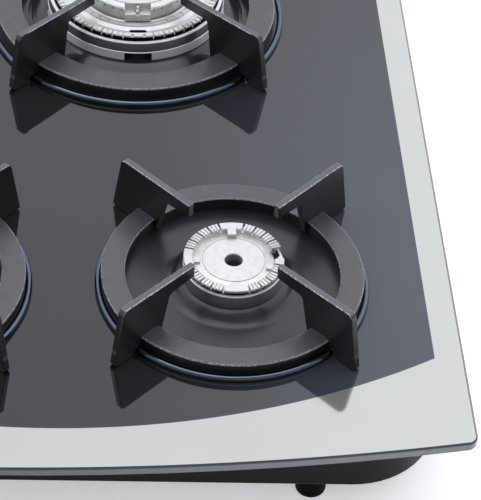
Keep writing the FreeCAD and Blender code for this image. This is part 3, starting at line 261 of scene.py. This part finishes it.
# ------------------------------------------------------------------ drip pans
def enamel(name, cx, cy, bead_r, rough):
    """Smooth black enamel; the rolled bead round the pan is given a bluish dark-chrome colour, a painted reflection.
    """
    m = Mat(name)
    m.set(IOR=1.55)
    r = m.radial(cx, cy)
    bead = m.remap(r, bead_r - 0.0024, bead_r - 0.0022, 0.0, 1.0)
    base = m.mix(m.noise(0.02, 3.0), srgb(26, 27, 31), srgb(33, 34, 39))
    # painted reflection: the bead gets a bluish metallic colour
    m.plug(m.mix(bead, base, (0.105, 0.125, 0.160, 1.0)), "Base Color")
    m.plug(bead, "Metallic")
    satin = m.remap(m.noise(0.01, 4.0), 0.3, 0.7, rough, rough + 0.05)
    m.plug(m.mix_value(bead, satin, 0.14), "Roughness")
    n = m.bump(m.noise(0.012, 2.0), 0.3, 0.00002)
    n = m.bump(m.noise(0.0008, 2.0), 0.2, 0.00001, n)
    m.plug(n, "Normal")
    return m


for n, (cx, cy) in CENTRES.items():
    dress(["drip_pan_" + n], enamel("enamel_%s_mat" % n, cx, cy, 0.1078 if n == "wok" else 0.0883, 0.17 if n == "wok" else 0.28))


# ------------------------------------------------------------------ turned and cast burner metal
def cast(name, colour_a, colour_b, rough):
    m = Mat(name)
    m.set(Metallic=0.85, IOR=1.5)
    m.plug(m.mix(m.remap(m.noise(0.004, 4.0), 0.3, 0.7, 0.0, 1.0), colour_a, colour_b), "Base Color")
    m.plug(m.remap(m.noise(0.002, 3.0), 0.3, 0.7, rough - 0.06, rough + 0.08), "Roughness")
    nrm = m.bevel(0.00035)
    nrm = m.bump(m.noise(0.0012, 3.0), 0.35, 0.00008, nrm)
    m.plug(nrm, "Normal")
    return m


def cup(name, cx, cy, band_top, shelf_top, shelf_r, lip_z, foot_z):
    """Turned cup: brushed round its axis, with painted shade on the rebate that the crown stands in and a painted
    highlight along the lip and the foot of the band;
    the wok cup's lower band is left matt and light."""
    m = Mat(name)
    m.set(Anisotropic=0.55, Anisotropic_Rotation=0.25)
    r = m.radial(cx, cy)
    x, y, z = m.xyz()
    v = m.vec(r, z, 0.0)
    broad = m.noise(0.004, 3.0, vec=v)
    base = m.mix(m.remap(broad, 0.3, 0.7, 0.0, 1.0), srgb(196, 197, 202), srgb(210, 211, 215))
    # painted shade: the rebate under the crown is dark grey
    rebate_painted_shade = m.math("MULTIPLY", m.remap(z, shelf_top - 0.00012, shelf_top, 1.0, 0.0), m.remap(z, shelf_top - 0.0022, shelf_top - 0.0020, 0.0, 1.0))
    rebate_painted_shade = m.math("MULTIPLY", rebate_painted_shade, m.remap(r, shelf_r, shelf_r + 0.0002, 1.0, 0.0))
    base = m.mix(rebate_painted_shade, base, srgb(70, 70, 73))
    rough = m.remap(m.noise(0.003, 2.0, vec=v), 0.3, 0.7, 0.30, 0.36)
    # painted highlight: the lip and the foot of the band are near white and less metallic
    lip_painted_highlight = m.math("MULTIPLY", m.remap(z, lip_z - 0.00085, lip_z - 0.00080, 0.0, 1.0), m.remap(r, shelf_r, shelf_r + 0.0001, 0.0, 1.0))
    lip_painted_highlight = m.math("MAXIMUM", lip_painted_highlight, m.math("MULTIPLY", m.remap(z, foot_z, foot_z + 0.0001, 1.0, 0.0), m.remap(r, shelf_r, shelf_r + 0.0001, 0.0, 1.0)))
    base = m.mix(lip_painted_highlight, base, srgb(232, 232, 234))
    matt = m.math("MULTIPLY", lip_painted_highlight, 0.7)
    if band_top:
        low = m.remap(z, band_top - 0.0001, band_top + 0.0001, 1.0, 0.0)
        base = m.mix(low, base, srgb(205, 205, 205))
        matt = m.math("MAXIMUM", matt, m.math("MULTIPLY", low, 0.75))
        rough = m.math("MAXIMUM", rough, m.math("MULTIPLY", low, 0.55))
    m.plug(base, "Base Color")
    m.plug(m.math("SUBTRACT", 1.0, matt), "Metallic")
    m.plug(rough, "Roughness")
    tangent = m.vec(m.math("SUBTRACT", cy, y), m.math("SUBTRACT", x, cx), 0.0)
    m.plug(tangent, "Tangent")
    m.plug(m.bump(m.noise(0.0016, 1.0, vec=v), 0.2, 0.00001), "Normal")
    return m


def crown(name, cx, cy, rim_under, recess_r, slot=None):
    """Cast and sandblasted crown; the wall set back under its rim, and the inside of the slot where given, carry
    painted shade.
    """
    m = Mat(name)
    m.set(Metallic=0.80, IOR=1.5)
    r = m.radial(cx, cy)
    x, y, z = m.xyz()
    grain = m.mix(m.remap(m.noise(0.004, 4.0), 0.3, 0.7, 0.0, 1.0), srgb(199, 199, 196), srgb(214, 214, 211))
    # painted shade: the wall set back under the rim and the slot interior are dark grey
    recess_painted_shade = m.math("MULTIPLY", m.remap(z, rim_under - 0.00004, rim_under, 1.0, 0.0), m.remap(r, recess_r - 0.0004, recess_r - 0.0003, 0.0, 1.0))
    recess_painted_shade = m.math("MULTIPLY", recess_painted_shade, m.remap(r, recess_r + 0.0001, recess_r + 0.0003, 1.0, 0.0))
    if slot:
        sx, sz = slot
        inside = m.math("MULTIPLY", m.remap(x, sx - 0.0021, sx - 0.0019, 0.0, 1.0), m.remap(x, sx + 0.0019, sx + 0.0021, 1.0, 0.0))
        inside = m.math("MULTIPLY", inside, m.remap(m.math("ABSOLUTE", m.math("SUBTRACT", y, cy)), 0.0064, 0.0066, 1.0, 0.0))
        inside = m.math("MULTIPLY", inside, m.remap(z, sz - 0.0002, sz, 1.0, 0.0))
        recess_painted_shade = m.math("MAXIMUM", recess_painted_shade, inside)
    m.plug(m.mix(recess_painted_shade, grain, srgb(44, 44, 46)), "Base Color")
    m.plug(m.remap(m.noise(0.002, 3.0), 0.3, 0.7, 0.34, 0.48), "Roughness")
    nrm = m.bevel(0.0003)
    nrm = m.bump(m.noise(0.0012, 3.0), 0.35, 0.00006, nrm)
    m.plug(nrm, "Normal")
    return m


for n, (cx, cy) in SMALL.items():
    dress(["burner_cup_" + n], cup("cup_%s_mat" % n, cx, cy, None, GLASS + 0.01952, 0.0313, GLASS + 0.0197, GLASS + 0.0101))
    dress(["burner_crown_" + n], crown("crown_%s_mat" % n, cx, cy, GLASS + 0.02258, 0.0299))
dress(["burner_cup_wok"], cup("cup_wok_mat", 0.0, WOK[1], GLASS + 0.01438, GLASS + 0.02222, 0.0623, GLASS + 0.0225, GLASS + 0.0082))
dress(["wok_outer_crown"], crown("crown_wok_mat", 0.0, WOK[1], GLASS + 0.02500, 0.0597, slot=(0.0522, GLASS + 0.0235)))
dress(["wok_inner_crown"], cast("crown_inner_mat", srgb(200, 200, 197), srgb(214, 214, 211), 0.42))


# ------------------------------------------------------------------ box, feet, knobs and inner pieces
def plain(name, a, b, rough, metallic=0.0, size=0.01, fine=0.001, depth=0.00005, bevel=0.0005, ior=1.5):
    m = Mat(name)
    m.set(Metallic=metallic, IOR=ior)
    m.plug(m.mix(m.remap(m.noise(size, 4.0), 0.3, 0.7, 0.0, 1.0), a, b), "Base Color")
    m.plug(m.remap(m.noise(size * 0.5, 3.0), 0.3, 0.7, max(0.02, rough - 0.05), rough + 0.06), "Roughness")
    n = m.bevel(bevel) if bevel else None
    n = m.bump(m.noise(fine, 3.0), 0.4, depth, n)
    m.plug(n, "Normal")
    return m


dress(["burner_box"], plain("box_mat", srgb(5, 5, 6), srgb(9, 9, 11), 0.34, size=0.03, fine=0.002, depth=0.00004, ior=1.25))
dress(["rubber_feet"], plain("foot_mat", srgb(5, 5, 5), srgb(9, 9, 9), 0.62, fine=0.0007, ior=1.15))
dress(["worktop_seal"], plain("seal_mat", srgb(24, 24, 24), srgb(34, 34, 34), 0.9, fine=0.0008, depth=0.0002))
dress(["knob_seals"], plain("bush_mat", srgb(18, 18, 19), srgb(26, 26, 27), 0.6))
dress(["knob_" + n for n in KNOB_X], plain("knob_mat", srgb(30, 30, 32), srgb(40, 40, 43), 0.36, fine=0.0006, depth=0.00003))
brass = plain("brass_mat", srgb(196, 160, 92), srgb(214, 182, 118), 0.28, metallic=1.0, fine=0.0008, depth=0.00002)
dress(["valve_stem_" + n for n in KNOB_X] + ["valve_plug_" + n for n in KNOB_X] + ["inlet_elbow"], brass)
dress(["burner_jets"], plain("jet_mat", srgb(150, 148, 140), srgb(176, 173, 164), 0.3, metallic=1.0, fine=0.0008, depth=0.00002))
zinc = plain("zinc_mat", srgb(168, 170, 173), srgb(196, 198, 200), 0.34, metallic=1.0, size=0.012, fine=0.003, depth=0.00002)
dress(["bridge_left", "bridge_centre", "bridge_right", "valve_bracket", "valve_bonnets", "box_screws", "gas_rail", "inlet_pipe"], zinc)
dress(["valve_bodies"], plain("die_cast_mat", srgb(158, 160, 163), srgb(180, 182, 184), 0.45, metallic=0.9, fine=0.001, depth=0.00006))
dress(["feed_tubes"], plain("tube_mat", srgb(190, 191, 193), srgb(210, 211, 213), 0.26, metallic=1.0))
dress(["electrodes"], plain("ceramic_mat", srgb(226, 224, 217), srgb(240, 239, 234), 0.25, fine=0.002))
dress(["ignition_leads"], plain("lead_mat", srgb(30, 30, 32), srgb(44, 44, 47), 0.55))
dress(["ignition_module", "battery_holder", "battery_cover"], plain("case_mat", srgb(26, 26, 28), srgb(36, 36, 39), 0.5, fine=0.0008, depth=0.00004))
dress(["battery_cell"], plain("cell_mat", srgb(120, 122, 126), srgb(150, 152, 156), 0.35, metallic=0.6))

# ------------------------------------------------------------------ stage
floor_mesh = bpy.data.meshes.new("floor")
S = 40.0
floor_mesh.from_pydata([(-S, -S, 0), (S, -S, 0), (S, S, 0), (-S, S, 0)], [], [(0, 1, 2, 3)])
floor = bpy.data.objects.new("floor", floor_mesh)
floor.location.z = -0.0002
scene.collection.objects.link(floor)
fm = Mat("floor_mat")
fm.set(Roughness=0.8)
fm.bsdf.inputs["Base Color"].default_value = (0.93, 0.93, 0.93, 1)
fm.bsdf.inputs["Emission Color"].default_value = (1.0, 1.0, 1.0, 1)
fm.bsdf.inputs["Emission Strength"].default_value = 0.45
floor_mesh.materials.append(fm.m)

world = bpy.data.worlds.new("studio")
scene.world = world
world.use_nodes = True
wt = world.node_tree
bg = wt.nodes["Background"]
bg.inputs[1].default_value = 1.0
# a soft studio dome: even and cool, a little brighter to one side, dimmer at the horizon
gen = wt.nodes.new("ShaderNodeTexCoord").outputs["Generated"]
sep = wt.nodes.new("ShaderNodeSeparateXYZ")
wt.links.new(gen, sep.inputs[0])


def dome(src, a, b, c, d):
    n = wt.nodes.new("ShaderNodeMapRange")
    n.interpolation_type = "SMOOTHSTEP"
    wt.links.new(src, n.inputs[0])
    for i, v in enumerate((a, b, c, d)):
        n.inputs[i + 1].default_value = v
    return n.outputs[0]


def times(a, b):
    n = wt.nodes.new("ShaderNodeMath")
    n.operation = "MULTIPLY"
    wt.links.new(a, n.inputs[0])
    wt.links.new(b, n.inputs[1])
    return n.outputs[0]


level = times(dome(sep.outputs[2], 0.05, 0.45, 0.60, 1.0), dome(sep.outputs[2], 0.85, 0.98, 1.0, 0.8))
level = times(level, dome(sep.outputs[0], -0.35, 0.60, 1.26, 0.45))
level = times(level, dome(sep.outputs[1], -0.1, 0.3, 0.97, 1.16))
scaled = wt.nodes.new("ShaderNodeVectorMath")
scaled.operation = "SCALE"
scaled.inputs[0].default_value = (0.965, 0.985, 1.06)
wt.links.new(level, scaled.inputs["Scale"])
wt.links.new(scaled.outputs[0], bg.inputs[0])


def area(name, loc, target, size_x, size_y, power, colour=(1, 1, 1)):
    light = bpy.data.lights.new(name, "AREA")
    light.shape = "RECTANGLE"
    light.size, light.size_y = size_x, size_y
    light.energy = power
    light.color = colour
    o = bpy.data.objects.new(name, light)
    scene.collection.objects.link(o)
    o.location = loc
    d = Vector(target) - Vector(loc)
    o.rotation_euler = d.to_track_quat("-Z", "Y").to_euler()
    return o


# one large soft box overhead, and weak ones high on both sides
area("top_light", (-0.1, -0.25, 3.0), (0.1, -0.1, 0), 2.6, 2.6, 30.0, (0.96, 0.98, 1.0))
# they are fill only, so that no hard outline of them shows in the glass
for fill in (area("left_light", (0.55, -2.3, 2.3), (0.2, 0, 0.05), 1.3, 0.9, 7.0),
             area("right_light", (0.75, 2.2, 2.5), (0.2, 0, 0.05), 1.0, 0.9, 5.0, (0.93, 0.97, 1.0))):
    fill.visible_glossy = False

# ------------------------------------------------------------------ camera
yaw, pitch, roll = math.radians(6.0), math.radians(42.97), math.radians(3.96)
fw = Vector((-math.cos(yaw) * math.cos(pitch), math.sin(yaw) * math.cos(pitch), -math.sin(pitch)))
right = Vector((math.sin(yaw), math.cos(yaw), 0.0))
up = right.cross(fw)
r = right * math.cos(roll) + up * math.sin(roll)
u = -right * math.sin(roll) + up * math.cos(roll)
cam_data = bpy.data.cameras.new("camera")
cam = bpy.data.objects.new("camera", cam_data)
scene.collection.objects.link(cam)
m = Matrix((r, u, -fw)).transposed().to_4x4()
m.translation = Vector((1.4142, -0.0064, 1.1586))
cam.matrix_world = m
cam_data.sensor_fit = "VERTICAL"
cam_data.sensor_height = 36.0
cam_data.sensor_width = 36.0
cam_data.lens = 170.03
cam_data.clip_start = 0.05
cam_data.clip_end = 200.0
scene.camera = cam

scene.view_settings.view_transform = "Standard"
scene.view_settings.look = "None"
